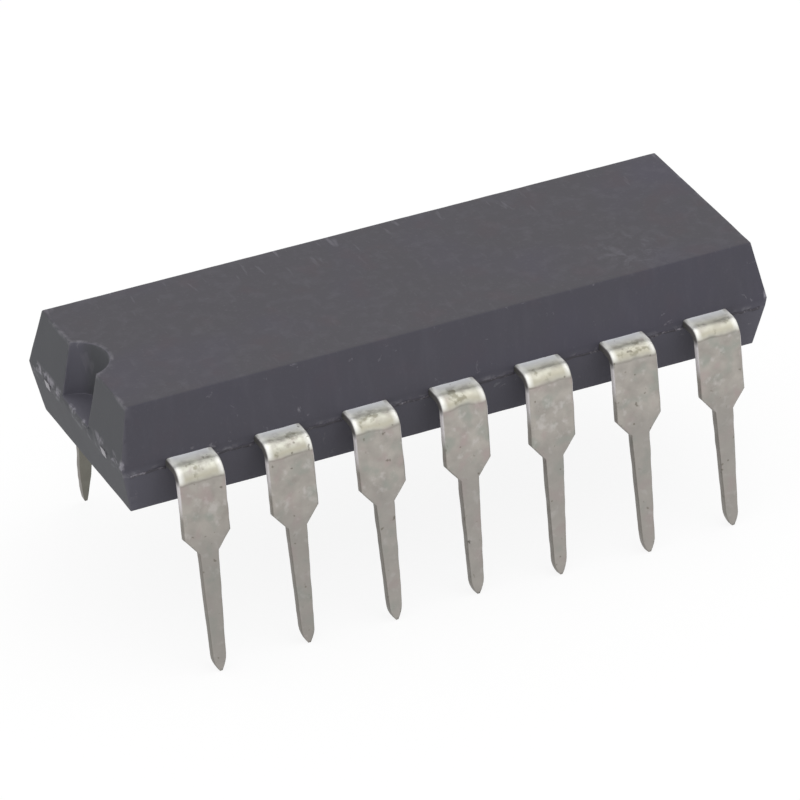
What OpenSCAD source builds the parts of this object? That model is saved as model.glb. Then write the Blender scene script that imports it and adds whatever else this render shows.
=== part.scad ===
// Fourteen-lead plastic dual-in-line chip: a resin block moulded round a stamped lead frame.
// Frame: X runs along the package and Y across it. The notch and lead 1 are at -X, and lead 1 is
// in the row at -Y. Z = 0 is the seating plane, the board face that the leads' shoulders stop on.

/* [Moulding] */
// Length at the parting line
body_length = 19.1; // [18.6:0.1:24]
// Width at the parting line
body_width = 6.3; // [6:0.05:7.2]
// Height above the parting line
upper_height = 1.65; // [1.3:0.05:2.2]
// Height below the parting line
lower_height = 1.5; // [1.2:0.05:2.2]
// Draft of the two long sides, in degrees
side_draft = 11.5; // [5:0.5:15]
// Draft of the two ends, in degrees
end_draft = 11.5; // [5:0.5:15]
// Gap between the underside and the board
standoff = 0.68; // [0.38:0.02:1]

/* [Notch] */
// Radius of the half-round notch that marks lead 1
notch_radius = 0.86; // [0.6:0.02:1]
// Distance that the notch runs in from the end of the upper face
notch_depth = 0.63; // [0.5:0.01:0.8]
// Resin left between the notch's floor and the parting line
notch_floor = 0.1; // [0.05:0.05:0.5]

/* [Leads] */
// Distance between neighbouring leads of a row
lead_pitch = 2.54; // [2.3:0.01:2.7]
// Thickness of the stamped strip
lead_thickness = 0.25; // [0.2:0.01:0.36]
// Width of the lead where it leaves the resin, and down to its taper
shoulder_width = 1.34; // [1.1:0.01:1.5]
// Straight stretch between the resin and the bend
shoulder_reach = 0.41; // [0.3:0.01:0.6]
// Inside radius of the bend
bend_radius = 0.2; // [0.1:0.01:0.3]
// Angle by which each row opens out from the vertical, in degrees
splay = 7.7; // [0:0.1:12]
// Height above the board at which the taper starts
taper_top = 0.21; // [0.1:0.01:0.4]
// Height of the taper between shoulder and pin
taper_height = 0.48; // [0.3:0.01:0.8]
// Width of the pin under the taper
pin_width = 0.56; // [0.44:0.01:0.62]
// Width of the pin just above its point
pin_end_width = 0.39; // [0.3:0.01:0.43]
// Reach of the pin's point below the board face
pin_reach = 3.7; // [2.9:0.05:3.8]
// Length of the point
point_length = 0.45; // [0.2:0.05:0.8]
// Width of the blunt end of the point
point_blunt = 0.08; // [0.04:0.01:0.12]

/* [Lead frame inside the resin] */
// Length of the pad that carries the chip
pad_length = 5.2; // [4.4:0.1:5.6]
// Width of the pad
pad_width = 2.8; // [2.2:0.1:2.9]
// Gap between the pad and the fingers round it
finger_gap = 0.28; // [0.2:0.01:0.35]
// Distance between the finger ends beside the pad's long edge
finger_pitch = 1.56; // [1.2:0.02:1.6]
// Width of a finger at its end
finger_width = 0.4; // [0.3:0.01:0.45]
// Distance that a finger keeps its full width inside the resin
root_length = 0.7; // [0.6:0.01:0.75]
// Distance from the side of the resin to the finger's locking notches
lock_start = 0.22; // [0.15:0.01:0.25]
// Length of a locking notch
lock_length = 0.25; // [0.15:0.01:0.3]
// Depth of a locking notch
lock_depth = 0.18; // [0.1:0.01:0.25]
// Width of the bars that held the pad in the strip
tie_width = 0.3; // [0.2:0.01:0.35]
// Distance of a tie bar's cut end from the middle of the package
tie_offset = 1.9; // [1.6:0.05:1.95]
// Resin between the notch and the crosspiece of the tie bars
tie_cover = 0.15; // [0.1:0.01:0.2]

/* [Chip and wires] */
// Length of the silicon chip
chip_length = 2.6; // [2.2:0.1:3]
// Width of the silicon chip
chip_width = 1.8; // [1.5:0.1:1.9]
// Thickness of the silicon chip
chip_thickness = 0.3; // [0.2:0.01:0.4]
// Thickness of the silver-filled glue under the chip
glue_thickness = 0.04; // [0.02:0.01:0.06]
// Rim of glue that shows round the chip
glue_rim = 0.1; // [0.05:0.01:0.15]
// Distance between the wires along the chip's edge
bond_pitch = 0.34; // [0.25:0.01:0.35]
// Distance from the chip's edge to its bonds
bond_inset = 0.12; // [0.1:0.01:0.2]
// Diameter of the gold wire
wire_diameter = 0.036; // [0.03:0.001:0.05]
// Half of the angle through which a wire curves, in degrees
wire_bow = 40; // [35:1:50]
// Diameter of the ball that joins the wire to the chip
ball_diameter = 0.09; // [0.08:0.01:0.12]
// Height of that ball
ball_height = 0.04; // [0.04:0.005:0.06]

/* [Hidden] */
$fn = 48;

// Small amount by which cutting shapes run past what they cut
over = 0.5;

// Leads in a row, and the column in its middle
row_count = 7;
middle = (row_count - 1) / 2;

// Sideways lean and extra splay, in degrees, that handling has given the leads of the -Y row
front_lean = [-0.5, 0.5, 0.5, 0, -1.5, -0.5, 0.5];
front_splay = [0.5, -1, 0, -1.5, 0.5, 1.5, 0];

// Heights of the parting line, which is the frame's upper face, and of the block's two faces
parting_z = standoff + lower_height;
frame_z = parting_z - lead_thickness;
top_z = parting_z + upper_height;

// Half sizes of the block's upper and lower faces
top_x = body_length / 2 - upper_height * tan(end_draft);
top_y = body_width / 2 - upper_height * tan(side_draft);
base_x = body_length / 2 - lower_height * tan(end_draft);
base_y = body_width / 2 - (lower_height - lead_thickness) * tan(side_draft);

// Centre of a lead's bend
bend_y = body_width / 2 + shoulder_reach;
bend_z = frame_z - bend_radius;

// Height of the chip's upper face, and the angle by which a wire's arc is cut back at its ends
chip_z = parting_z + glue_thickness + chip_thickness;
wire_bed = 4;

// Places of the finger ends round the pad, from the middle column outwards: two beside its long
// edge, one off its corner and one beside its end
finger_ends = [
    [0, pad_width / 2 + finger_gap],
    [finger_pitch, pad_width / 2 + finger_gap],
    [pad_length / 2 + finger_gap / 2, pad_width / 2 + finger_gap / 2 + finger_width / 4],
    [pad_length / 2 + finger_gap, pad_width / 4]
];

// Flats that draw a bend and the rounding of a point, and the sides of a wire
bend_flats = 8;
point_flats = 4;
wire_sides = 12;

LEADS = [for (n = [1 : 2 * row_count]) str("lead_", n)];
WIRES = [for (n = [1 : 2 * row_count]) str("bond_wire_", n)];

// Column of a lead from the middle of its row, -3 to 3, before the far row is turned round
function column(n) = (n - 1) % row_count - middle;
// Leads 1 to 7 are in the -Y row; the far row is the same row turned by half a turn
function row_turn(n) = n > row_count ? 180 : 0;

function front_value(values, n) = n > row_count ? 0 : values[n - 1];

// End of a finger as [x, y], and the unit vector along the finger's axis towards it
function finger_end(c) = let (at = finger_ends[abs(c)]) [sign(c) * at.x, -at.y];
function root_end(c) = [c * lead_pitch, root_length - body_width / 2];
function finger_way(c) = (finger_end(c) - root_end(c)) / norm(finger_end(c) - root_end(c));

// Plan of the flat part of a lead, from past its bend to the end of its finger
function flat_half(side, x, w) = [
    [x + side * w / 2, -bend_y - bend_radius - lead_thickness - over],
    [x + side * w / 2, lock_start - body_width / 2],
    [x + side * (w / 2 - lock_depth), lock_start - body_width / 2],
    [x + side * (w / 2 - lock_depth), lock_start + lock_length - body_width / 2],
    [x + side * w / 2, lock_start + lock_length - body_width / 2],
    [x + side * w / 2, root_length - body_width / 2]
];
function flat_outline(c) =
    let (x = c * lead_pitch, way = finger_way(c), across = [way.y, -way.x] * finger_width / 2,
        left = flat_half(-1, x, shoulder_width), right = flat_half(1, x, shoulder_width))
    concat(right, [finger_end(c) + across, finger_end(c) - across],
        [for (i = [len(left) - 1 : -1 : 0]) left[i]]);

// Side view of the strip as [y, z] from the centre of its bend: flat, bend and leg
function bend_arc(radius, open) = [
    for (i = [0 : bend_flats]) let (a = 90 + (90 - open) * i / bend_flats) radius * [cos(a), sin(a)]
];
function strip_side(open) =
    let (outer = bend_arc(bend_radius + lead_thickness, open), inner = bend_arc(bend_radius, open),
        leg = (pin_reach + top_z) * [-sin(open), -cos(open)])
    concat([outer[0] + [bend_y, 0]], outer, [outer[bend_flats] + leg, inner[bend_flats] + leg],
        [for (i = [bend_flats : -1 : 0]) inner[i]], [inner[0] + [bend_y, 0]]);

// Distance down the leg, from the end of the bend, of a point at height z on its middle plane
function down_leg(z, open) =
    (bend_z + (bend_radius + lead_thickness / 2) * sin(open) - z) / cos(open);

// Half widths down one edge of the leg, as [half width, distance], from inside the bend to the
// blunt point, and the outline with its sideways lean
function leg_half(open) = concat(
    [
        [shoulder_width / 2, -bend_radius / 2],
        [shoulder_width / 2, 0],
        [shoulder_width / 2, down_leg(taper_top, open)],
        [pin_width / 2, down_leg(taper_top - taper_height, open)]
    ],
    [for (i = [0 : point_flats]) let (t = i / point_flats) [
        (point_blunt + (pin_end_width - point_blunt) * (1 - t * t)) / 2,
        down_leg(point_length * (1 - t) - pin_reach, open)
    ]]
);
function leg_shift(y, lean) = max(y, 0) * tan(lean);
function leg_outline(open, lean) = let (half = leg_half(open), last = len(half) - 1) concat(
    [for (p = half) [leg_shift(p.y, lean) + p.x, -p.y]],
    [for (i = [last : -1 : 0]) [leg_shift(half[i].y, lean) - half[i].x, -half[i].y]]
);

// The block without its notch: two drafted prisms, one across the other. The sides are upright
// along the edge of the lead frame, between the two drafted halves.
module block() {
    along = [
        [-top_x, top_z], [-body_length / 2, parting_z], [-base_x, standoff],
        [base_x, standoff], [body_length / 2, parting_z], [top_x, top_z]
    ];
    across = [
        [-top_y, top_z], [-body_width / 2, parting_z], [-body_width / 2, frame_z],
        [-base_y, standoff], [base_y, standoff],
        [body_width / 2, frame_z], [body_width / 2, parting_z], [top_y, top_z]
    ];
    intersection() {
        rotate([90, 0, 0]) linear_extrude(body_width + over, center = true) polygon(along);
        rotate([90, 0, 90]) linear_extrude(body_length + over, center = true) polygon(across);
    }
}

// Black resin, moulded round the whole frame: what it holds is cut out of it face to face
module moulded_body() {
    color("#4f4d52") difference() {
        block();
        translate([notch_depth - top_x - notch_radius, 0, parting_z + notch_floor]) {
            cylinder(r = notch_radius, h = upper_height + over);
            translate([-body_length, -notch_radius, 0])
                cube([body_length, 2 * notch_radius, upper_height + over]);
        }
        for (n = [1 : 2 * row_count]) {
            lead(n);
            bond_wire(n);
        }
        die_pad();
        die_attach();
        silicon_die();
    }
}

// One lead, stamped and bent from tinned strip: finger, shoulder, bend and tapered pin. It is the
// strip's side view drawn out along the row, and cut to the plans of its flat part and its leg.
module lead(n) {
    open = splay + front_value(front_splay, n);
    color("#b9b6b0") rotate(row_turn(n)) intersection() {
        translate([0, -bend_y, bend_z]) rotate([90, 0, 90])
            linear_extrude(body_length + 2 * over, center = true) polygon(strip_side(open));
        union() {
            translate([0, 0, bend_z + bend_radius / 2])
                linear_extrude(top_z) polygon(flat_outline(column(n)));
            translate([column(n) * lead_pitch, -bend_y, bend_z]) rotate([90 - open, 0, 0])
                linear_extrude(bend_radius + lead_thickness + over)
                    polygon(leg_outline(open, front_value(front_lean, n)));
        }
    }
}

// Half of the pad's carrier: a bar that forks round the notch, with two ends cut at the resin
module tie_bars() {
    fork_x = top_x - notch_depth - tie_cover - tie_width;
    translate([0, -tie_width / 2, 0]) cube([fork_x + tie_width, tie_width, lead_thickness]);
    translate([fork_x, -tie_offset - tie_width / 2, 0])
        cube([tie_width, 2 * tie_offset + tie_width, lead_thickness]);
    for (side = [-1, 1]) translate([fork_x, side * tie_offset - tie_width / 2, 0])
        cube([body_length / 2 - fork_x, tie_width, lead_thickness]);
}

// The pad that carries the chip, in one piece with its tie bars, ground flush with the ends
module die_pad() {
    color("#c08a5a") intersection() {
        block();
        translate([0, 0, frame_z]) {
            translate([-pad_length / 2, -pad_width / 2, 0]) cube([pad_length, pad_width, lead_thickness]);
            for (turn = [0, 180]) rotate(turn) tie_bars();
        }
    }
}

// Silver-filled glue between pad and chip
module die_attach() {
    color("#a8a9ab") translate([-chip_length / 2 - glue_rim, -chip_width / 2 - glue_rim, parting_z])
        cube([chip_length + 2 * glue_rim, chip_width + 2 * glue_rim, glue_thickness]);
}

// The chip itself
module silicon_die() {
    color("#5c6274") translate([-chip_length / 2, -chip_width / 2, parting_z + glue_thickness])
        cube([chip_length, chip_width, chip_thickness]);
}

// Gold wire from a bond on the chip to the end of a finger: a twelve-sided arc on a small ball
module bond_wire(n) {
    c = column(n);
    start = [c * bond_pitch, bond_inset - chip_width / 2];
    land = finger_end(c) - finger_way(c) * finger_width / 2;
    run = norm(land - start);
    drop = chip_z - parting_z;
    chord = norm([run, drop]);
    radius = chord / (2 * sin(wire_bow));
    dip = radius * cos(wire_bow) / chord;
    first = atan2(run * dip - drop / 2, run / 2 + drop * dip) - wire_bed;
    color("#d9b24a") rotate(row_turn(n)) difference() {
        translate([start.x, start.y, chip_z]) {
            rotate(atan2(land.y - start.y, land.x - start.x))
                translate([run / 2 - drop * dip, 0, -drop / 2 - run * dip])
                    rotate([90, 0, 0]) rotate(first)
                        rotate_extrude(angle = 2 * (wire_bow + wire_bed))
                            translate([radius, 0]) circle(d = wire_diameter, $fn = wire_sides);
            cylinder(d = ball_diameter, h = ball_height);
        }
        silicon_die();
        lead((n - 1) % row_count + 1);
    }
}

moulded_body();
die_pad();
die_attach();
silicon_die();
for (n = [1 : 2 * row_count]) lead(n);
for (n = [1 : 2 * row_count]) bond_wire(n);
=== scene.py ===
import math

import bmesh
import bpy
from mathutils import Matrix, Vector, noise


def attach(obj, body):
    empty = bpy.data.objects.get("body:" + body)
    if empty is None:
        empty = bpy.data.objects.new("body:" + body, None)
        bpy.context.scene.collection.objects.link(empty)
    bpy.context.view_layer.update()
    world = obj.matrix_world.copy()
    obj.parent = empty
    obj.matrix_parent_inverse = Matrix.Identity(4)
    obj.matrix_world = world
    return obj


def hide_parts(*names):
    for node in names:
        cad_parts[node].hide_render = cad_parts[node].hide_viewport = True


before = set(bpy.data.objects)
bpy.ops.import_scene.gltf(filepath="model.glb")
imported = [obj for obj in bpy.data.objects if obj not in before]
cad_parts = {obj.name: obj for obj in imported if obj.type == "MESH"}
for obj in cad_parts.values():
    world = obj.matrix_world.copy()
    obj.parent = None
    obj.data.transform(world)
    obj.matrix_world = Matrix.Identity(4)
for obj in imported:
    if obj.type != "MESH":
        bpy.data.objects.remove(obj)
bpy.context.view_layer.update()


# Camera. A long lens looks down on the package from its front left, 25 degrees round from its
# long side and 31 degrees above the board, on the photograph's line of sight.
scene = bpy.context.scene
scene.view_settings.view_transform = "Standard"
camera = bpy.data.objects.new("camera", bpy.data.cameras.new("camera"))
scene.collection.objects.link(camera)
camera.data.sensor_width = 36
camera.data.lens = 278.19
camera.data.clip_start = 0.01
sight = Matrix((
    (0.90284, 0.24252, -0.35505),
    (-0.42926, 0.46092, -0.77672),
    (-0.02472, 0.85366, 0.52024),
))
camera.matrix_world = Matrix.LocRotScale(
    Vector((-0.059697, -0.130459, 0.087324)), sight.to_quaternion(), None)
scene.camera = camera


# Studio floor and light. The package stands on its lead points on a sheet of white paper, under
# one overhead softbox in a white tent. What the lens and the metal see of paper and tent is
# white, and the paper keeps the soft shadow.
floor_level = -3.72          # mm, the height of the lead points
paper_size = 600             # mm, half the side of the sheet


def linear(code):
    """An sRGB hex colour as the linear RGBA that shaders take."""
    parts = [int(code[i:i + 2], 16) / 255 for i in (1, 3, 5)]
    return [p / 12.92 if p <= 0.04045 else ((p + 0.055) / 1.055) ** 2.4 for p in parts] + [1]


def add(tree, kind, inputs=None, **settings):
    """Adds a node. inputs maps a socket's name or number to a value or to another node's output."""
    made = tree.nodes.new(kind)
    for name, value in settings.items():
        setattr(made, name, value)
    for name, value in (inputs or {}).items():
        if isinstance(value, bpy.types.NodeSocket):
            tree.links.new(value, made.inputs[name])
        else:
            made.inputs[name].default_value = value
    return made


def start_material(name):
    """An empty material and its node tree."""
    material = bpy.data.materials.new(name)
    material.use_nodes = True
    material.node_tree.nodes.clear()
    return material, material.node_tree


def seen_ray(tree):
    """1 for rays from the lens and for what gloss and glass show, and 0 for light on surfaces."""
    path = add(tree, "ShaderNodeLightPath")
    gloss = add(tree, "ShaderNodeMath", {
        0: path.outputs["Is Camera Ray"], 1: path.outputs["Is Glossy Ray"]}, operation="MAXIMUM")
    return add(tree, "ShaderNodeMath", {
        0: gloss.outputs[0], 1: path.outputs["Is Transmission Ray"]}, operation="MAXIMUM").outputs[0]


# Matt white card, which the lens sees as plain white with a faint shadow.
paper, tree = start_material("white_card")
seen = seen_ray(tree)
glow = add(tree, "ShaderNodeMath", {0: seen, 1: 0.87}, operation="MULTIPLY")
shade = add(tree, "ShaderNodeMath", {0: seen, 1: -0.65, 2: 0.8}, operation="MULTIPLY_ADD")
matt = add(tree, "ShaderNodeBsdfDiffuse", {"Color": shade.outputs[0]})
light = add(tree, "ShaderNodeEmission", {"Strength": glow.outputs[0]})
both = add(tree, "ShaderNodeAddShader", {0: matt.outputs[0], 1: light.outputs[0]})
add(tree, "ShaderNodeOutputMaterial", {"Surface": both.outputs[0]})

sheet = bmesh.new()
bmesh.ops.create_grid(sheet, x_segments=1, y_segments=1, size=paper_size / 1000,
                      matrix=Matrix.Translation((0, 0, floor_level / 1000)))
sheet_mesh = bpy.data.meshes.new("studio_floor")
sheet.to_mesh(sheet_mesh)
sheet.free()
sheet_mesh.materials.append(paper)
studio_floor = bpy.data.objects.new("studio_floor", sheet_mesh)
scene.collection.objects.link(studio_floor)

tent = bpy.data.worlds.new("white_tent")
tent.use_nodes = True
tree = tent.node_tree
tree.nodes.clear()
level = add(tree, "ShaderNodeMath", {0: seen_ray(tree), 1: 0.18, 2: 0.82}, operation="MULTIPLY_ADD")
back = add(tree, "ShaderNodeBackground", {"Color": (1, 1, 1, 1), "Strength": level.outputs[0]})
add(tree, "ShaderNodeOutputWorld", {"Surface": back.outputs[0]})
scene.world = tent

softbox = bpy.data.objects.new("softbox", bpy.data.lights.new("softbox", "AREA"))
softbox.data.shape = "SQUARE"
softbox.data.size = 0.16
softbox.data.energy = 0.065
softbox.location = (0.045, -0.02, 0.2)
softbox.rotation_euler = (-softbox.location).to_track_quat("-Z", "Y").to_euler()
scene.collection.objects.link(softbox)


# Moulded block. Black epoxy filled with ground silica, pressed into a two-part mould round the
# lead frame. Both halves draw away from the parting line, and the sides stand upright along the
# frame's edge. A half-round notch in the end marks lead 1.
draft = math.tan(math.radians(11.5))
parting_level = 2.18         # mm above the board, the frame's upper face
strip_thickness = 0.25
half_length, half_width = 9.55, 3.15
block_foot, block_top = 0.68, 3.83
lower_rise, upper_rise = parting_level - block_foot, block_top - parting_level
top_half_length = half_length - upper_rise * draft
cut_end_step = 0.012         # the tie bars' cut ends stand this far out of the end faces
block_levels = [             # mm: height, half length, half width
    (block_foot, half_length - lower_rise * draft,
     half_width - (lower_rise - strip_thickness) * draft),
    (parting_level - strip_thickness, half_length - strip_thickness * draft, half_width),
    (parting_level, half_length, half_width),
    (block_top, top_half_length, half_width - upper_rise * draft),
]
edge_round, corner_round = 0.12, 0.06   # the upper edges are rubbed rounder than the rest
notch_radius, notch_draft, notch_depth = 0.86, 0.04, 0.63
notch_reach = notch_radius + 0.12       # the notch's radius with the round of its rim
ridge_level = parting_level + 0.08      # the middle of the rubbed band round both ends
ridge_chip = 0.09                       # the deepest chip in the ends' ridge


def finish_piece(shape, name, material):
    """Turns a shape drawn in millimetres into a piece of the package that rides on its body."""
    bmesh.ops.dissolve_degenerate(shape, dist=0.0005, edges=shape.edges)
    bmesh.ops.recalc_face_normals(shape, faces=shape.faces)
    bmesh.ops.scale(shape, vec=(0.001, 0.001, 0.001), verts=shape.verts)
    for face in shape.faces:
        face.smooth = True
    mesh = bpy.data.meshes.new(name)
    shape.to_mesh(mesh)
    shape.free()
    mesh.materials.append(material)
    piece = bpy.data.objects.new(name, mesh)
    scene.collection.objects.link(piece)
    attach(piece, "root")
    return piece


def cut_across(shape, axis, first, last, step):
    """Scores a shape with level cuts across one axis, so that it can be worn unevenly."""
    normal = Vector([1 if i == axis else 0 for i in range(3)])
    for i in range(int((last - first) / step) + 1):
        bmesh.ops.bisect_plane(shape, geom=shape.verts[:] + shape.edges[:] + shape.faces[:],
                               dist=1e-6, plane_co=normal * (first + i * step), plane_no=normal)


def wear(shape, depth, size):
    """Moves the surface in and out by up to depth, in waves about size long."""
    shape.normal_update()
    for vert in shape.verts:
        vert.co += vert.normal * depth * noise.noise(vert.co / size)


def sharp_edges(shape, degrees):
    """The edges of a shape that turn by more than an angle."""
    return [e for e in shape.edges
            if e.is_manifold and e.calc_face_angle() > math.radians(degrees)]


block = bmesh.new()
bmesh.ops.create_cube(block, size=2)
for vert in block.verts:
    z, x, y = block_levels[0 if vert.co.z < 0 else 1]
    vert.co = (vert.co.x * (x - cut_end_step), vert.co.y * y, z)
for z, x, y in block_levels[2:]:
    block.faces.ensure_lookup_table()
    top = max(block.faces, key=lambda f: f.calc_center_median().z)
    grown = bmesh.ops.extrude_face_region(
        block, geom=[top] + top.edges[:] + top.verts[:])["geom"]
    for vert in (g for g in grown if isinstance(g, bmesh.types.BMVert)):
        vert.co = (math.copysign(x - cut_end_step, vert.co.x), math.copysign(y, vert.co.y), z)

core = bmesh.new()
core_height = 3
notch_x = notch_depth - top_half_length - notch_radius
bmesh.ops.create_cone(
    core, cap_ends=True, segments=64, radius1=notch_radius,
    radius2=notch_radius + core_height * notch_draft, depth=core_height,
    matrix=Matrix.Translation((notch_x, 0, parting_level + 0.1 + core_height / 2)))
for vert in core.verts:
    if vert.co.x < notch_x - 0.001:
        vert.co.x -= 1
parts = []
for name, shape in (("block", block), ("core", core)):
    mesh = bpy.data.meshes.new(name)
    bmesh.ops.recalc_face_normals(shape, faces=shape.faces)
    shape.to_mesh(mesh)
    shape.free()
    parts.append(bpy.data.objects.new(name, mesh))
    scene.collection.objects.link(parts[-1])
notching = parts[0].modifiers.new("notch", "BOOLEAN")
notching.object = parts[1]
notching.solver = "EXACT"
notched = bpy.data.meshes.new_from_object(
    parts[0].evaluated_get(bpy.context.evaluated_depsgraph_get()))
block = bmesh.new()
block.from_mesh(notched)
for part in parts:
    bpy.data.objects.remove(part)
upper_edges = [e for e in sharp_edges(block, 60)
               if all(v.co.z > block_top - 0.01 for v in e.verts)]
bmesh.ops.bevel(block, geom=upper_edges, offset=edge_round, offset_type="OFFSET",
                segments=4, profile=0.5, affect="EDGES", clamp_overlap=True, material=-1)
bmesh.ops.bevel(block, geom=sharp_edges(block, 60), offset=corner_round, offset_type="OFFSET",
                segments=3, profile=0.5, affect="EDGES", clamp_overlap=True, material=-1)
cut_across(block, 0, -9.5, 9.5, 0.25)
cut_across(block, 1, -3, 3, 0.1)
cut_across(block, 2, 0.8, 3.7, 0.2)
wear(block, 0.006, 0.6)
for vert in block.verts:
    if abs(vert.co.x) > half_length - 0.03 and abs(vert.co.z - parting_level) < 0.02:
        chip = max(0, noise.noise(Vector((vert.co.x, vert.co.y / 0.3, 0))))
        vert.co.x -= math.copysign(ridge_chip * chip, vert.co.x)

# Filled epoxy as moulded: a dark grey skin with the fine grain of the sparked mould, silica
# grains just under it, dull handling marks on the upper face and faint ejection streaks on the
# sides. The eye sees a flat grey-black with a slight violet cast and paler worn edges. The grain
# is drawn at 0.09 mm, about three times its real size, so that it shows.
resin, tree = start_material("black_filled_epoxy")
place = add(tree, "ShaderNodeVectorMath", {
    0: add(tree, "ShaderNodeTexCoord").outputs["Object"], "Scale": 1000},
    operation="SCALE").outputs[0]                                                  # in mm
axes = add(tree, "ShaderNodeSeparateXYZ", {0: place})
along = add(tree, "ShaderNodeMath", {0: axes.outputs["X"]}, operation="ABSOLUTE")
height = axes.outputs["Z"]
cloud = add(tree, "ShaderNodeTexNoise", {"Vector": place, "Scale": 1 / 2.5, "Detail": 3})
drift = add(tree, "ShaderNodeTexNoise", {"Vector": place, "Scale": 1 / 4, "Detail": 2})
grain = add(tree, "ShaderNodeTexNoise", {"Vector": place, "Scale": 1 / 0.09, "Detail": 2})
tone = add(tree, "ShaderNodeMix", {
    0: cloud.outputs["Fac"], 6: linear("#454348"), 7: linear("#4c4a51")}, data_type="RGBA")
cool = add(tree, "ShaderNodeMapRange", {
    "Value": drift.outputs["Fac"], "From Min": 0.5, "From Max": 0.7, "To Max": 0.3})
cooled = add(tree, "ShaderNodeMix", {
    0: cool.outputs[0], 6: tone.outputs[2], 7: linear("#484459")}, data_type="RGBA")
speck = add(tree, "ShaderNodeMapRange", {
    "Value": grain.outputs["Fac"], "From Min": 0.6, "From Max": 0.75, "To Max": 0.14})
skin = add(tree, "ShaderNodeMix", {
    0: speck.outputs[0], 6: cooled.outputs[2], 7: linear("#6f6d73")}, data_type="RGBA")
drawn = add(tree, "ShaderNodeMapping", {"Vector": place, "Scale": (1, 1, 0.12)})
streak = add(tree, "ShaderNodeTexNoise", {
    "Vector": drawn.outputs[0], "Scale": 1 / 0.35, "Detail": 3})
streaked = add(tree, "ShaderNodeMapRange", {
    "Value": streak.outputs["Fac"], "From Min": 0.5, "From Max": 0.75, "To Max": 0.3})
flank = add(tree, "ShaderNodeMix", {
    0: streaked.outputs[0], 6: skin.outputs[2], 7: linear("#5c5a62")}, data_type="RGBA")
stain = add(tree, "ShaderNodeTexNoise", {"Vector": place, "Scale": 1 / 0.9, "Detail": 2})
warm = add(tree, "ShaderNodeMapRange", {
    "Value": stain.outputs["Fac"], "From Min": 0.55, "From Max": 0.7, "To Max": 0.25})
warmed = add(tree, "ShaderNodeMix", {
    0: warm.outputs[0], 6: flank.outputs[2], 7: linear("#50444a")}, data_type="RGBA")

# The sides are given a bluer cast and the end faces a paler, cooler grey, by which way each face
# points: painted light, standing in for how each face catches the light. The lower half and the
# notch, which a core pin made, are painted a shade paler: a painted fill light against the shade
# under the parting line and inside the notch.
facing = add(tree, "ShaderNodeSeparateXYZ", {0: add(tree, "ShaderNodeTexCoord").outputs["Normal"]})
side_facing = add(tree, "ShaderNodeMath", {0: facing.outputs["Y"]}, operation="ABSOLUTE")
on_side = add(tree, "ShaderNodeMapRange", {
    "Value": side_facing.outputs[0], "From Min": 0.5, "From Max": 0.8, "To Max": 0.4})
side_tint_painted = add(tree, "ShaderNodeMix", {
    0: on_side.outputs[0], 6: warmed.outputs[2], 7: linear("#4a4957")}, data_type="RGBA")
end_facing = add(tree, "ShaderNodeMath", {0: facing.outputs["X"]}, operation="ABSOLUTE")
on_end = add(tree, "ShaderNodeMapRange", {
    "Value": end_facing.outputs[0], "From Min": 0.5, "From Max": 0.8})
end_tint_painted = add(tree, "ShaderNodeMix", {
    0: on_end.outputs[0], 6: side_tint_painted.outputs[2], 7: linear("#4b4c50")}, data_type="RGBA")
# Painted fill light: below the parting line and inside the notch the resin is painted paler, to lift
# their shade.
below = add(tree, "ShaderNodeMapRange", {
    "Value": height, "From Min": parting_level, "From Max": parting_level - 0.3, "To Max": 0.6})
from_notch = add(tree, "ShaderNodeVectorMath", {
    0: add(tree, "ShaderNodeVectorMath", {
        0: place, 1: (notch_x, 0, 0)}, operation="SUBTRACT").outputs[0],
    1: (1, 1, 0)}, operation="MULTIPLY")
from_axis = add(tree, "ShaderNodeVectorMath", {0: from_notch.outputs[0]}, operation="LENGTH")
in_notch = add(tree, "ShaderNodeMapRange", {
    "Value": from_axis.outputs["Value"], "From Min": notch_reach,
    "From Max": notch_reach - 0.06, "To Max": 0.8})
off_end = add(tree, "ShaderNodeMath", {0: 1.0, 1: on_end.outputs[0]}, operation="SUBTRACT")
painted_fill_area = add(tree, "ShaderNodeMath", {
    0: below.outputs[0], 1: in_notch.outputs[0]}, operation="MAXIMUM")
painted_fill = add(tree, "ShaderNodeMath", {
    0: painted_fill_area.outputs[0], 1: off_end.outputs[0]}, operation="MULTIPLY")
fill_lit = add(tree, "ShaderNodeMix", {
    0: painted_fill.outputs[0], 6: end_tint_painted.outputs[2], 7: linear("#5f5e68")}, data_type="RGBA")

# The ridge round both ends is rubbed: a broken pale band, with bare silica showing as flecks.
fleck = add(tree, "ShaderNodeTexNoise", {
    "Vector": place, "Scale": 1 / 0.5, "Detail": 4, "Roughness": 0.65, "Distortion": 0.6})
off_ridge = add(tree, "ShaderNodeMath", {0: height, 1: ridge_level}, operation="SUBTRACT")
near_ridge = add(tree, "ShaderNodeMapRange", {
    "Value": add(tree, "ShaderNodeMath", {0: off_ridge.outputs[0]}, operation="ABSOLUTE").outputs[0],
    "From Min": 0.05, "From Max": 0.2, "To Min": 1, "To Max": 0})
at_end = add(tree, "ShaderNodeMapRange", {
    "Value": along.outputs[0], "From Min": half_length - 0.13, "From Max": half_length - 0.08})
end_ridge = add(tree, "ShaderNodeMath", {
    0: near_ridge.outputs[0], 1: at_end.outputs[0]}, operation="MULTIPLY")
broken = add(tree, "ShaderNodeMapRange", {
    "Value": fleck.outputs["Fac"], "From Min": 0.48, "From Max": 0.66, "To Max": 0.85})
rubbed = add(tree, "ShaderNodeMath", {
    0: end_ridge.outputs[0], 1: broken.outputs[0]}, operation="MULTIPLY")
banded = add(tree, "ShaderNodeMix", {
    0: rubbed.outputs[0], 6: fill_lit.outputs[2], 7: linear("#b1aeb7")}, data_type="RGBA")

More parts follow.
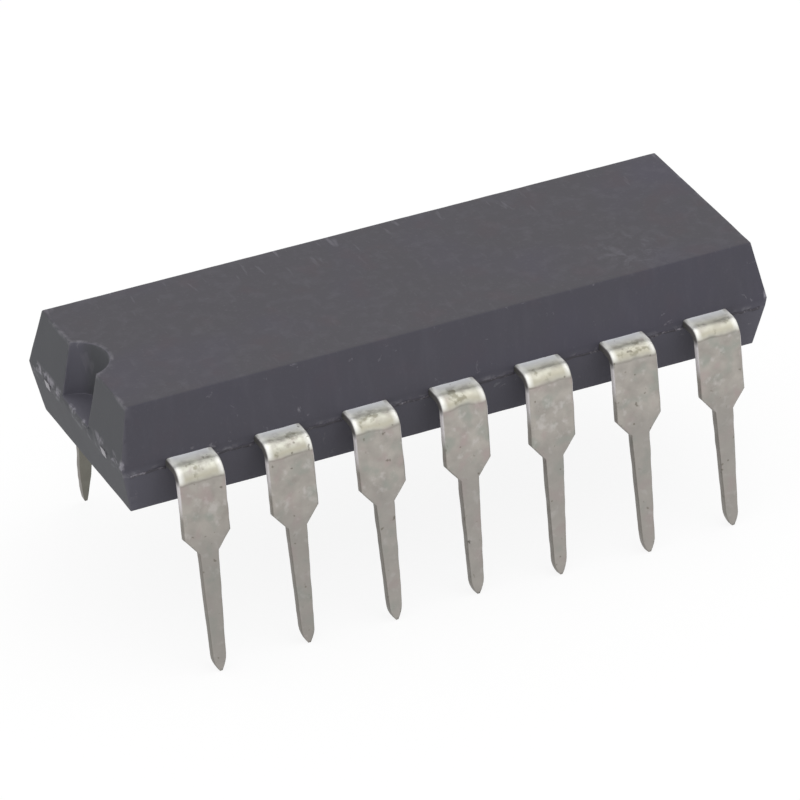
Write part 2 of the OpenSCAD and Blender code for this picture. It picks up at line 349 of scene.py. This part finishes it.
# The rim of the notch is rubbed too.
from_rim = add(tree, "ShaderNodeMath", {
    0: from_axis.outputs["Value"], 1: notch_reach}, operation="SUBTRACT")
near_rim = add(tree, "ShaderNodeMapRange", {
    "Value": add(tree, "ShaderNodeMath", {0: from_rim.outputs[0]}, operation="ABSOLUTE").outputs[0],
    "From Min": 0.02, "From Max": 0.08, "To Min": 0.35, "To Max": 0})
rim_rubbed = add(tree, "ShaderNodeMath", {
    0: near_rim.outputs[0], 1: broken.outputs[0]}, operation="MULTIPLY")
at_top = add(tree, "ShaderNodeMapRange", {
    "Value": height, "From Min": block_top - 0.13, "From Max": block_top - 0.05})
rim_top = add(tree, "ShaderNodeMath", {
    0: rim_rubbed.outputs[0], 1: at_top.outputs[0]}, operation="MULTIPLY")
rimmed = add(tree, "ShaderNodeMix", {
    0: rim_top.outputs[0], 6: banded.outputs[2], 7: linear("#9a989f")}, data_type="RGBA")

# So is the edge between the end face and the upper face.
from_edge = add(tree, "ShaderNodeVectorMath", {
    0: add(tree, "ShaderNodeCombineXYZ", {"X": along.outputs[0], "Z": height}).outputs[0],
    1: (top_half_length, 0, block_top)}, operation="DISTANCE")
near_edge = add(tree, "ShaderNodeMapRange", {
    "Value": from_edge.outputs["Value"], "From Min": 0.04, "From Max": 0.12,
    "To Min": 0.5, "To Max": 0})
edge_rubbed = add(tree, "ShaderNodeMath", {
    0: near_edge.outputs[0], 1: broken.outputs[0]}, operation="MULTIPLY")
end_edged = add(tree, "ShaderNodeMix", {
    0: edge_rubbed.outputs[0], 6: rimmed.outputs[2], 7: linear("#8b8990")}, data_type="RGBA")

# Crumbs of flash have dulled the sides along the parting line to a broken paler haze.
off_line = add(tree, "ShaderNodeMath", {
    0: height, 1: parting_level - strip_thickness + 0.04}, operation="SUBTRACT")
near_line = add(tree, "ShaderNodeMapRange", {
    "Value": add(tree, "ShaderNodeMath", {0: off_line.outputs[0]}, operation="ABSOLUTE").outputs[0],
    "From Min": 0.03, "From Max": 0.12, "To Min": 0.7, "To Max": 0})
hazed = add(tree, "ShaderNodeMath", {
    0: near_line.outputs[0], 1: broken.outputs[0]}, operation="MULTIPLY")
hazy = add(tree, "ShaderNodeMix", {
    0: hazed.outputs[0], 6: end_edged.outputs[2], 7: linear("#8b8a90")}, data_type="RGBA")

# Handling has left a few pale dings on the sides, short nicks on the upper face, most of them near
# its far edge, and one smudge towards the unmarked end.
ding = add(tree, "ShaderNodeMapRange", {
    "Value": fleck.outputs["Fac"], "From Min": 0.65, "From Max": 0.73})
side_ding = add(tree, "ShaderNodeMath", {
    0: ding.outputs[0], 1: on_side.outputs[0]}, operation="MULTIPLY")
dinged = add(tree, "ShaderNodeMix", {
    0: side_ding.outputs[0], 6: hazy.outputs[2], 7: linear("#9d9ba2")}, data_type="RGBA")
scored = add(tree, "ShaderNodeMapping", {
    "Vector": place, "Rotation": (0, 0, 0.3), "Scale": (5, 1.1, 1)})
score = add(tree, "ShaderNodeTexNoise", {"Vector": scored.outputs[0], "Scale": 1, "Detail": 2})
far_side = add(tree, "ShaderNodeMapRange", {
    "Value": axes.outputs["Y"], "From Min": 1.2, "From Max": 2.6, "To Min": 0.1, "To Max": 0.6})
scored_deep = add(tree, "ShaderNodeMapRange", {
    "Value": score.outputs["Fac"], "From Min": 0.64, "From Max": 0.74})
scratch = add(tree, "ShaderNodeMath", {
    0: scored_deep.outputs[0], 1: far_side.outputs[0]}, operation="MULTIPLY")
from_smudge = add(tree, "ShaderNodeVectorMath", {
    0: place, 1: (6.1, -1.75, block_top)}, operation="DISTANCE")
smudge_area = add(tree, "ShaderNodeMapRange", {
    "Value": from_smudge.outputs["Value"], "From Min": 0.5, "From Max": 1.5,
    "To Min": 0.45, "To Max": 0})
smudge = add(tree, "ShaderNodeMath", {
    0: smudge_area.outputs[0], 1: broken.outputs[0]}, operation="MULTIPLY")
marks = add(tree, "ShaderNodeMath", {0: scratch.outputs[0], 1: smudge.outputs[0]}, operation="ADD")
top_marks = add(tree, "ShaderNodeMath", {
    0: marks.outputs[0], 1: at_top.outputs[0]}, operation="MULTIPLY")
marked = add(tree, "ShaderNodeMix", {
    0: top_marks.outputs[0], 6: dinged.outputs[2], 7: linear("#6e6c74")}, data_type="RGBA")

surface = add(tree, "ShaderNodeNewGeometry")
worn = add(tree, "ShaderNodeMapRange", {
    "Value": surface.outputs["Pointiness"], "From Min": 0.52, "From Max": 0.6, "To Max": 0.2})
edged = add(tree, "ShaderNodeMix", {
    0: worn.outputs[0], 6: marked.outputs[2], 7: linear("#77757d")}, data_type="RGBA")
gloss = add(tree, "ShaderNodeMapRange", {
    "Value": cloud.outputs["Fac"], "To Min": 0.66, "To Max": 0.78})
relief = add(tree, "ShaderNodeBump", {
    "Height": grain.outputs["Fac"], "Strength": 0.5, "Distance": 0.000008})
shader = add(tree, "ShaderNodeBsdfPrincipled", {
    "Base Color": edged.outputs[2], "Roughness": gloss.outputs[0], "IOR": 1.5,
    "Normal": relief.outputs[0]})
add(tree, "ShaderNodeOutputMaterial", {"Surface": shader.outputs[0]})

moulded_block = finish_piece(block, "moulded_block", resin)
moulded_block.modifiers.new("even shading", "WEIGHTED_NORMAL")
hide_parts("moulded_body")


# Leads. Copper-alloy strip 0.25 mm thick, stamped to finger, shoulder, taper and pin, tinned, and
# bent down at the block's side. Handling has left the near row slightly out of line.
row_count = 7
lead_pitch = 2.54
shoulder_width, pin_width, pin_end_width, point_width = 1.34, 0.56, 0.39, 0.08
bend_radius, bend_reach = 0.2, 0.41
splay = 7.7
near_lean = [-0.5, 0.5, 0.5, 0, -1.5, -0.5, 0.5]
near_splay = [0.5, -1, 0, -1.5, 0.5, 1.5, 0]
finger_ends = [(0, 1.68), (1.56, 1.68), (2.74, 1.64), (2.88, 0.7)]
finger_width, root_length = 0.4, 0.7
lock_start, lock_end, lock_depth, lock_slope = 0.22, 0.47, 0.18, 0.01
taper_top, taper_foot = 0.21, -0.27
point_length, pin_reach = 0.45, 3.7
long_point = {14: (1.5, 3.56)}          # this lead was cropped to a long point
strip_round = 0.08
bend_foot = 2.0              # mm, where the bend runs into the leg


def strip_section(centre, way, width):
    """Places the strip's section at a point of its run, narrowed or widened to a width."""
    way = way.normalized()
    side = Vector((0, 0, 1)).cross(way) if abs(way.z) < 0.5 else Vector((1, 0, 0))
    side.normalize()
    face_up = way.cross(side)
    spot = Matrix((side * width / shoulder_width, face_up, way)).transposed().to_4x4()
    spot.translation = centre
    return spot


def draw_strip(shape, face, here, there):
    """Carries the strip's open end from one section to the next."""
    grown = bmesh.ops.extrude_face_region(
        shape, geom=[face] + face.edges[:] + face.verts[:])["geom"]
    verts = [g for g in grown if isinstance(g, bmesh.types.BMVert)]
    bmesh.ops.transform(shape, matrix=there @ here.inverted(), verts=verts)
    return next(g for g in grown if isinstance(g, bmesh.types.BMFace))


# Tin plate over rolled copper alloy: a soft mottled silver-grey with faint pink and green stains,
# small bright nicks and a duller tone towards the points.
tinned, tree = start_material("tinned_copper_alloy")
place = add(tree, "ShaderNodeVectorMath", {
    0: add(tree, "ShaderNodeTexCoord").outputs["Object"], "Scale": 1000},
    operation="SCALE").outputs[0]                                                  # in mm
axes = add(tree, "ShaderNodeSeparateXYZ", {0: place})
reach = add(tree, "ShaderNodeMath", {0: axes.outputs["Y"]}, operation="ABSOLUTE")
mottle = add(tree, "ShaderNodeTexNoise", {"Vector": place, "Scale": 1 / 0.45, "Detail": 4})
hue = add(tree, "ShaderNodeTexNoise", {"Vector": place, "Scale": 1 / 0.6, "Detail": 2})
nick = add(tree, "ShaderNodeTexNoise", {"Vector": place, "Scale": 1 / 0.25, "Detail": 3})
tone = add(tree, "ShaderNodeMapRange", {
    "Value": mottle.outputs["Fac"], "From Min": 0.3, "From Max": 0.7})
toned = add(tree, "ShaderNodeMix", {
    0: tone.outputs[0], 6: linear("#9e9993"), 7: linear("#bcb7b0")}, data_type="RGBA")
pink = add(tree, "ShaderNodeMapRange", {
    "Value": hue.outputs["Fac"], "From Min": 0.55, "From Max": 0.7, "To Max": 0.6})
pinked = add(tree, "ShaderNodeMix", {
    0: pink.outputs[0], 6: toned.outputs[2], 7: linear("#b0a09e")}, data_type="RGBA")
green = add(tree, "ShaderNodeMapRange", {
    "Value": hue.outputs["Fac"], "From Min": 0.45, "From Max": 0.3, "To Max": 0.6})
greened = add(tree, "ShaderNodeMix", {
    0: green.outputs[0], 6: pinked.outputs[2], 7: linear("#9aa098")}, data_type="RGBA")
nicked = add(tree, "ShaderNodeMapRange", {
    "Value": nick.outputs["Fac"], "From Min": 0.56, "From Max": 0.72, "To Max": 0.5})
bright = add(tree, "ShaderNodeMix", {
    0: nicked.outputs[0], 6: greened.outputs[2], 7: linear("#cdc9c6")}, data_type="RGBA")
low = add(tree, "ShaderNodeMapRange", {
    "Value": axes.outputs["Z"], "From Min": 0.6, "From Max": -0.3, "To Max": 0.5})
dulled = add(tree, "ShaderNodeMix", {
    0: low.outputs[0], 6: bright.outputs[2], 7: linear("#979490")}, data_type="RGBA")

# The outside of the bend is painted lighter, partly burnish from the bending tool and partly a
# painted highlight, and the tool left a scuffed line below it.
blotch = add(tree, "ShaderNodeTexNoise", {"Vector": place, "Scale": 1 / 0.2, "Detail": 3})
waver = add(tree, "ShaderNodeMath", {
    0: hue.outputs["Fac"], 1: 0.2, 2: -0.1}, operation="MULTIPLY_ADD")
tool_tilt = add(tree, "ShaderNodeMapRange", {
    "Value": axes.outputs["X"], "From Min": -7.6, "From Max": 1, "To Min": 0.2, "To Max": 0.09})
lowered = add(tree, "ShaderNodeMath", {
    0: tool_tilt.outputs[0], 1: waver.outputs[0]}, operation="ADD")
level = add(tree, "ShaderNodeMath", {0: axes.outputs["Z"], 1: lowered.outputs[0]}, operation="ADD")
above = add(tree, "ShaderNodeMapRange", {
    "Value": level.outputs[0], "From Min": bend_foot - 0.01, "From Max": bend_foot + 0.13})
beyond = add(tree, "ShaderNodeMapRange", {
    "Value": reach.outputs[0], "From Min": half_width - 0.03, "From Max": half_width + 0.25})
bend = add(tree, "ShaderNodeMath", {
    0: above.outputs[0], 1: beyond.outputs[0]}, operation="MULTIPLY")
patchy = add(tree, "ShaderNodeMapRange", {
    "Value": blotch.outputs["Fac"], "From Min": 0.35, "From Max": 0.6, "To Min": 0.35})
burnish_and_highlight = add(tree, "ShaderNodeMath", {
    0: bend.outputs[0], 1: patchy.outputs[0]}, operation="MULTIPLY")
bend_highlit = add(tree, "ShaderNodeMix", {
    0: burnish_and_highlight.outputs[0], 6: dulled.outputs[2], 7: linear("#d4d4c9")}, data_type="RGBA")
shoulder = add(tree, "ShaderNodeMapRange", {
    "Value": reach.outputs[0], "From Min": half_width + 0.47, "From Max": half_width + 0.35})
lower_bend = add(tree, "ShaderNodeMapRange", {
    "Value": level.outputs[0], "From Min": bend_foot + 0.3, "From Max": bend_foot + 0.14})
# The lower part of the painted bend highlight is a yellower grey.
yellow = add(tree, "ShaderNodeMath", {
    0: lower_bend.outputs[0], 1: bend.outputs[0]}, operation="MULTIPLY")
yellowed = add(tree, "ShaderNodeMix", {
    0: yellow.outputs[0], 6: bend_highlit.outputs[2], 7: linear("#c2beae")}, data_type="RGBA")
rub = add(tree, "ShaderNodeTexNoise", {"Vector": place, "Scale": 1 / 0.33, "Detail": 3})
rubbed = add(tree, "ShaderNodeMapRange", {
    "Value": rub.outputs["Fac"], "From Min": 0.42, "From Max": 0.34, "To Max": 0.65})
grimy = add(tree, "ShaderNodeMath", {
    0: rubbed.outputs[0], 1: bend.outputs[0]}, operation="MULTIPLY")
grimed = add(tree, "ShaderNodeMix", {
    0: grimy.outputs[0], 6: yellowed.outputs[2], 7: linear("#85816f")}, data_type="RGBA")
# Painted light: the shoulders next to the resin are painted near white, making up for the dark resin
# they mirror and its shade.
by_resin = add(tree, "ShaderNodeMapRange", {
    "Value": reach.outputs[0], "From Min": half_width + 0.4, "From Max": half_width + 0.05})
shoulder_lightened = add(tree, "ShaderNodeMix", {
    0: by_resin.outputs[0], 6: grimed.outputs[2], 7: linear("#e9ebee")}, data_type="RGBA")
# Painted highlight: both corners of each bend are painted near white.
from_middle = add(tree, "ShaderNodeMath", {
    0: axes.outputs["X"], 1: lead_pitch / 2}, operation="PINGPONG")
corner = add(tree, "ShaderNodeMapRange", {
    "Value": from_middle.outputs[0], "From Min": shoulder_width / 2 - 0.22,
    "From Max": shoulder_width / 2 - 0.08, "To Max": 0.9})
painted_corner_highlight = add(tree, "ShaderNodeMath", {
    0: corner.outputs[0], 1: above.outputs[0]}, operation="MULTIPLY")
corner_highlit = add(tree, "ShaderNodeMix", {
    0: painted_corner_highlight.outputs[0], 6: shoulder_lightened.outputs[2], 7: linear("#f4f4f0")}, data_type="RGBA")
from_line = add(tree, "ShaderNodeMath", {
    0: add(tree, "ShaderNodeMath", {
        0: level.outputs[0], 1: bend_foot}, operation="SUBTRACT").outputs[0]},
    operation="ABSOLUTE")
scuff = add(tree, "ShaderNodeMapRange", {
    "Value": from_line.outputs[0], "From Min": 0.01, "From Max": 0.045, "To Min": 0.6, "To Max": 0})
scuff_broken = add(tree, "ShaderNodeMath", {
    0: scuff.outputs[0], 1: tone.outputs[0]}, operation="MULTIPLY")
scuffed = add(tree, "ShaderNodeMix", {
    0: scuff_broken.outputs[0], 6: corner_highlit.outputs[2], 7: linear("#7c7870")}, data_type="RGBA")

# Small dark pits, where grit was pressed into the tin.
pit = add(tree, "ShaderNodeTexNoise", {"Vector": place, "Scale": 1 / 0.17, "Detail": 1})
pitted = add(tree, "ShaderNodeMapRange", {
    "Value": pit.outputs["Fac"], "From Min": 0.29, "From Max": 0.23, "To Max": 0.6})
spotted = add(tree, "ShaderNodeMix", {
    0: pitted.outputs[0], 6: scuffed.outputs[2], 7: linear("#6b655a")}, data_type="RGBA")

# Next to the bend the stamped side edges are painted near white, a painted highlight. Further down
# they are darker than the faces.
facing = add(tree, "ShaderNodeTexCoord").outputs["Normal"]
across = add(tree, "ShaderNodeMath", {
    0: add(tree, "ShaderNodeSeparateXYZ", {0: facing}).outputs["X"]}, operation="ABSOLUTE")
sheared = add(tree, "ShaderNodeMapRange", {
    "Value": across.outputs[0], "From Min": 0.5, "From Max": 0.85})
wide = add(tree, "ShaderNodeMapRange", {
    "Value": axes.outputs["Z"], "From Min": 0.8, "From Max": 1.25})
flank_highlight = add(tree, "ShaderNodeMath", {
    0: sheared.outputs[0], 1: wide.outputs[0]}, operation="MULTIPLY")
narrow = add(tree, "ShaderNodeMapRange", {
    "Value": axes.outputs["Z"], "From Min": 1.1, "From Max": 0.7, "To Max": 0.55})
dark_flank = add(tree, "ShaderNodeMath", {
    0: sheared.outputs[0], 1: narrow.outputs[0]}, operation="MULTIPLY")
flank_darkened = add(tree, "ShaderNodeMix", {
    0: dark_flank.outputs[0], 6: spotted.outputs[2], 7: linear("#6d6963")}, data_type="RGBA")
edged = add(tree, "ShaderNodeMix", {
    0: flank_highlight.outputs[0], 6: flank_darkened.outputs[2], 7: linear("#e6e2e3")}, data_type="RGBA")

# Painted shade: against the resin the cut edge is painted dark, for the resin's shade and the dark
# resin that it mirrors.
by_block = add(tree, "ShaderNodeMapRange", {
    "Value": axes.outputs["Z"], "From Min": 1.72, "From Max": 1.9, "To Max": 0.9})
painted_flank_shade = add(tree, "ShaderNodeMath", {
    0: sheared.outputs[0], 1: by_block.outputs[0]}, operation="MULTIPLY")
flank_shaded = add(tree, "ShaderNodeMix", {
    0: painted_flank_shade.outputs[0], 6: edged.outputs[2], 7: linear("#45423f")}, data_type="RGBA")

# Painted shade: the inside faces of the legs, which face the block and lie in its shadow, are
# painted darker.
inward = add(tree, "ShaderNodeVectorMath", {
    0: facing,
    1: add(tree, "ShaderNodeVectorMath", {0: place, 1: (0, 1, 0)}, operation="MULTIPLY").outputs[0]},
    operation="DOT_PRODUCT")
inner_shade = add(tree, "ShaderNodeMapRange", {
    "Value": inward.outputs["Value"], "From Min": -0.5, "From Max": -2, "To Max": 0.8})
inner_shaded = add(tree, "ShaderNodeMix", {
    0: inner_shade.outputs[0], 6: flank_shaded.outputs[2], 7: linear("#69685f")}, data_type="RGBA")

satin = add(tree, "ShaderNodeMapRange", {
    "Value": mottle.outputs["Fac"], "From Min": 0.3, "From Max": 0.7, "To Min": 0.42, "To Max": 0.6})
matt_part = add(tree, "ShaderNodeMath", {
    0: shoulder.outputs[0], 1: flank_highlight.outputs[0]}, operation="MAXIMUM")
roughness = add(tree, "ShaderNodeMath", {
    0: matt_part.outputs[0], 1: 0.2, 2: satin.outputs[0]}, operation="MULTIPLY_ADD")
metal = add(tree, "ShaderNodeMath", {
    0: matt_part.outputs[0], 1: -0.65, 2: 1}, operation="MULTIPLY_ADD")
dent = add(tree, "ShaderNodeMath", {
    0: nick.outputs["Fac"], 1: mottle.outputs["Fac"]}, operation="ADD")
relief = add(tree, "ShaderNodeBump", {
    "Height": dent.outputs[0], "Strength": 0.8, "Distance": 0.00002})
shader = add(tree, "ShaderNodeBsdfPrincipled", {
    "Base Color": inner_shaded.outputs[2], "Metallic": metal.outputs[0], "Roughness": roughness.outputs[0],
    "Normal": relief.outputs[0]})
add(tree, "ShaderNodeOutputMaterial", {"Surface": shader.outputs[0]})

middle_level = parting_level - strip_thickness / 2
bend_y = half_width + bend_reach
bend_level = parting_level - strip_thickness - bend_radius
for number in range(1, 2 * row_count + 1):
    near = number <= row_count
    column = (number - 1) % row_count - row_count // 2
    open_angle = math.radians(splay + (near_splay[number - 1] if near else 0))
    lean = math.tan(math.radians(near_lean[number - 1] if near else 0))
    x = column * lead_pitch
    end_x, end_y = finger_ends[abs(column)]
    finger = Vector((math.copysign(end_x, column) if column else 0, -end_y, middle_level))
    root = Vector((x, root_length - half_width, middle_level))
    outward = Vector((0, -1, 0))
    shape = bmesh.new()
    section = bmesh.ops.create_grid(shape, x_segments=1, y_segments=1, size=0.5)["verts"]
    bmesh.ops.scale(shape, vec=(shoulder_width, strip_thickness, 1), verts=section)
    bmesh.ops.bevel(shape, geom=section, offset=strip_round, offset_type="OFFSET", segments=3,
                    profile=0.5, affect="VERTICES", material=-1)
    here = strip_section(finger, root - finger, finger_width)
    bmesh.ops.transform(shape, matrix=here, verts=shape.verts)
    face = shape.faces[:][0]
    stations = [(root, shoulder_width)]
    for inside, cut in ((lock_end + lock_slope, 0), (lock_end - lock_slope, lock_depth),
                        (lock_start + lock_slope, lock_depth), (lock_start - lock_slope, 0)):
        stations.append((
            Vector((x, inside - half_width, middle_level)), shoulder_width - 2 * cut))
    stations.append((Vector((x, -bend_y, middle_level)), shoulder_width))
    for centre, width in stations:
        there = strip_section(centre, outward, width)
        face = draw_strip(shape, face, here, there)
        here = there
    bend_centre = Vector((0, -bend_y, bend_level))
    turned = bmesh.ops.spin(shape, geom=[face] + face.edges[:] + face.verts[:], cent=bend_centre,
                            axis=(1, 0, 0), angle=math.pi / 2 - open_angle, steps=10)["geom_last"]
    face = next(g for g in turned if isinstance(g, bmesh.types.BMFace))
    way = Vector((0, -math.sin(open_angle), -math.cos(open_angle)))
    out = Vector((0, -math.cos(open_angle), math.sin(open_angle)))
    leg_start = Vector((x, 0, 0)) + bend_centre + out * (bend_radius + strip_thickness / 2)
    here = strip_section(leg_start, way, shoulder_width)
    leg = [(taper_top, shoulder_width), (taper_foot, pin_width)]
    point, tip = long_point.get(number, (point_length, pin_reach))
    for t in (0, 0.25, 0.5, 0.75, 1):
        leg.append((
            point * (1 - t) - tip, point_width + (pin_end_width - point_width) * (1 - t * t)))
    for height, width in leg:
        run = (leg_start.z - height) / math.cos(open_angle)
        there = strip_section(leg_start + way * run + Vector((run * lean, 0, 0)), way, width)
        face = draw_strip(shape, face, here, there)
        here = there
    if not near:
        bmesh.ops.rotate(shape, cent=(0, 0, 0), matrix=Matrix.Rotation(math.pi, 3, "Z"),
                         verts=shape.verts)
    middle = x if near else -x
    cut_across(shape, 0, middle - 0.6, middle + 0.61, 0.1)
    cut_across(shape, 2, -3.6, 1.8, 0.1)
    bmesh.ops.recalc_face_normals(shape, faces=shape.faces)
    wear(shape, 0.012, 0.35)
    lead = finish_piece(shape, "tinned_lead_%d" % number, tinned)
    lead.modifiers.new("even shading", "WEIGHTED_NORMAL")
    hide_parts("lead_%d" % number)


# Parting flash. Where the lower mould half closed on the lead frame it left a thin broken lip of
# resin along both sides between the leads. It is paler than the skin, as broken resin is.
flash_level = parting_level - strip_thickness
flash_proud, flash_thickness, flash_end = 0.03, 0.06, 9.3

# Torn filled epoxy: a crumbly matt grey with pale flecks of silica.
broken_resin, tree = start_material("broken_filled_epoxy")
where = add(tree, "ShaderNodeTexCoord").outputs["Object"]
crumb = add(tree, "ShaderNodeTexNoise", {
    "Vector": where, "Scale": 1000 / 0.3, "Detail": 4, "Roughness": 0.7})
pale = add(tree, "ShaderNodeMapRange", {
    "Value": crumb.outputs["Fac"], "From Min": 0.52, "From Max": 0.7})
tone = add(tree, "ShaderNodeMix", {
    0: pale.outputs[0], 6: linear("#4a474e"), 7: linear("#94919a")}, data_type="RGBA")
relief = add(tree, "ShaderNodeBump", {
    "Height": crumb.outputs["Fac"], "Strength": 0.8, "Distance": 0.00002})
shader = add(tree, "ShaderNodeBsdfPrincipled", {
    "Base Color": tone.outputs[2], "Roughness": 0.8, "IOR": 1.5, "Normal": relief.outputs[0]})
add(tree, "ShaderNodeOutputMaterial", {"Surface": shader.outputs[0]})

flash = bmesh.new()
for side in (-1, 1):
    for gap in range(row_count + 1):
        lead_x = (gap - row_count // 2) * lead_pitch           # of the lead after the gap
        left = lead_x - lead_pitch + shoulder_width / 2 if gap else -flash_end
        right = lead_x - shoulder_width / 2 if gap < row_count else flash_end
        lip = bmesh.ops.create_cube(flash, size=1)["verts"]
        bmesh.ops.scale(flash, vec=(right - left, 0.04, flash_thickness), verts=lip)
        bmesh.ops.translate(
            flash, vec=((left + right) / 2, side * (half_width - 0.01), flash_level), verts=lip)
cut_across(flash, 0, 0.05 - flash_end, flash_end - 0.05, 0.07)
for vert in flash.verts:
    if abs(vert.co.y) > half_width:
        spot = Vector((vert.co.x / 0.4, vert.co.y, 0))
        lip = noise.noise(spot) + 0.5 * noise.noise(spot * 4)
        vert.co.y += math.copysign(max(-0.5, lip) * flash_proud, vert.co.y)
        vert.co.z += 0.04 * noise.noise(spot * 2 + Vector((0, 0, 5)))
finish_piece(flash, "parting_flash", broken_resin)


# Inside the resin. The chip sits on a pad of the same strip, in silver-filled glue, and gold
# wires run to the fingers. Only the cut ends of the pad's tie bars show, in the two end faces.
def plain_metal(name, dark, light, roughness, size):
    """A metal or semiconductor surface whose tone drifts over patches about size mm wide."""
    material, tree = start_material(name)
    where = add(tree, "ShaderNodeTexCoord").outputs["Object"]
    patch = add(tree, "ShaderNodeTexNoise", {"Vector": where, "Scale": 1000 / size, "Detail": 3})
    tone = add(tree, "ShaderNodeMix", {
        0: patch.outputs["Fac"], 6: linear(dark), 7: linear(light)}, data_type="RGBA")
    relief = add(tree, "ShaderNodeBump", {
        "Height": patch.outputs["Fac"], "Strength": 0.3, "Distance": 0.000005})
    shader = add(tree, "ShaderNodeBsdfPrincipled", {
        "Base Color": tone.outputs[2], "Metallic": 1, "Roughness": roughness,
        "Normal": relief.outputs[0]})
    add(tree, "ShaderNodeOutputMaterial", {"Surface": shader.outputs[0]})
    return material


# Bare strip is a warm mid grey, the glue a matt pale grey, the sawn chip a dark blue-grey mirror
# and the wire a clean yellow.
inner_finishes = {
    "die_pad": plain_metal("sheared_frame_alloy", "#858388", "#b2b0b4", 0.5, 0.12),
    "die_attach": plain_metal("silver_filled_glue", "#9a9b9d", "#b8b9bb", 0.6, 0.05),
    "silicon_die": plain_metal("polished_silicon", "#4a5062", "#666d82", 0.2, 0.4),
}
gold = plain_metal("drawn_gold_wire", "#c9a040", "#e3bf62", 0.25, 0.05)
for name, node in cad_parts.items():
    finish = gold if name.startswith("bond_wire") else inner_finishes.get(name)
    if finish:
        node.data.materials.clear()
        node.data.materials.append(finish)


bpy.context.view_layer.update()
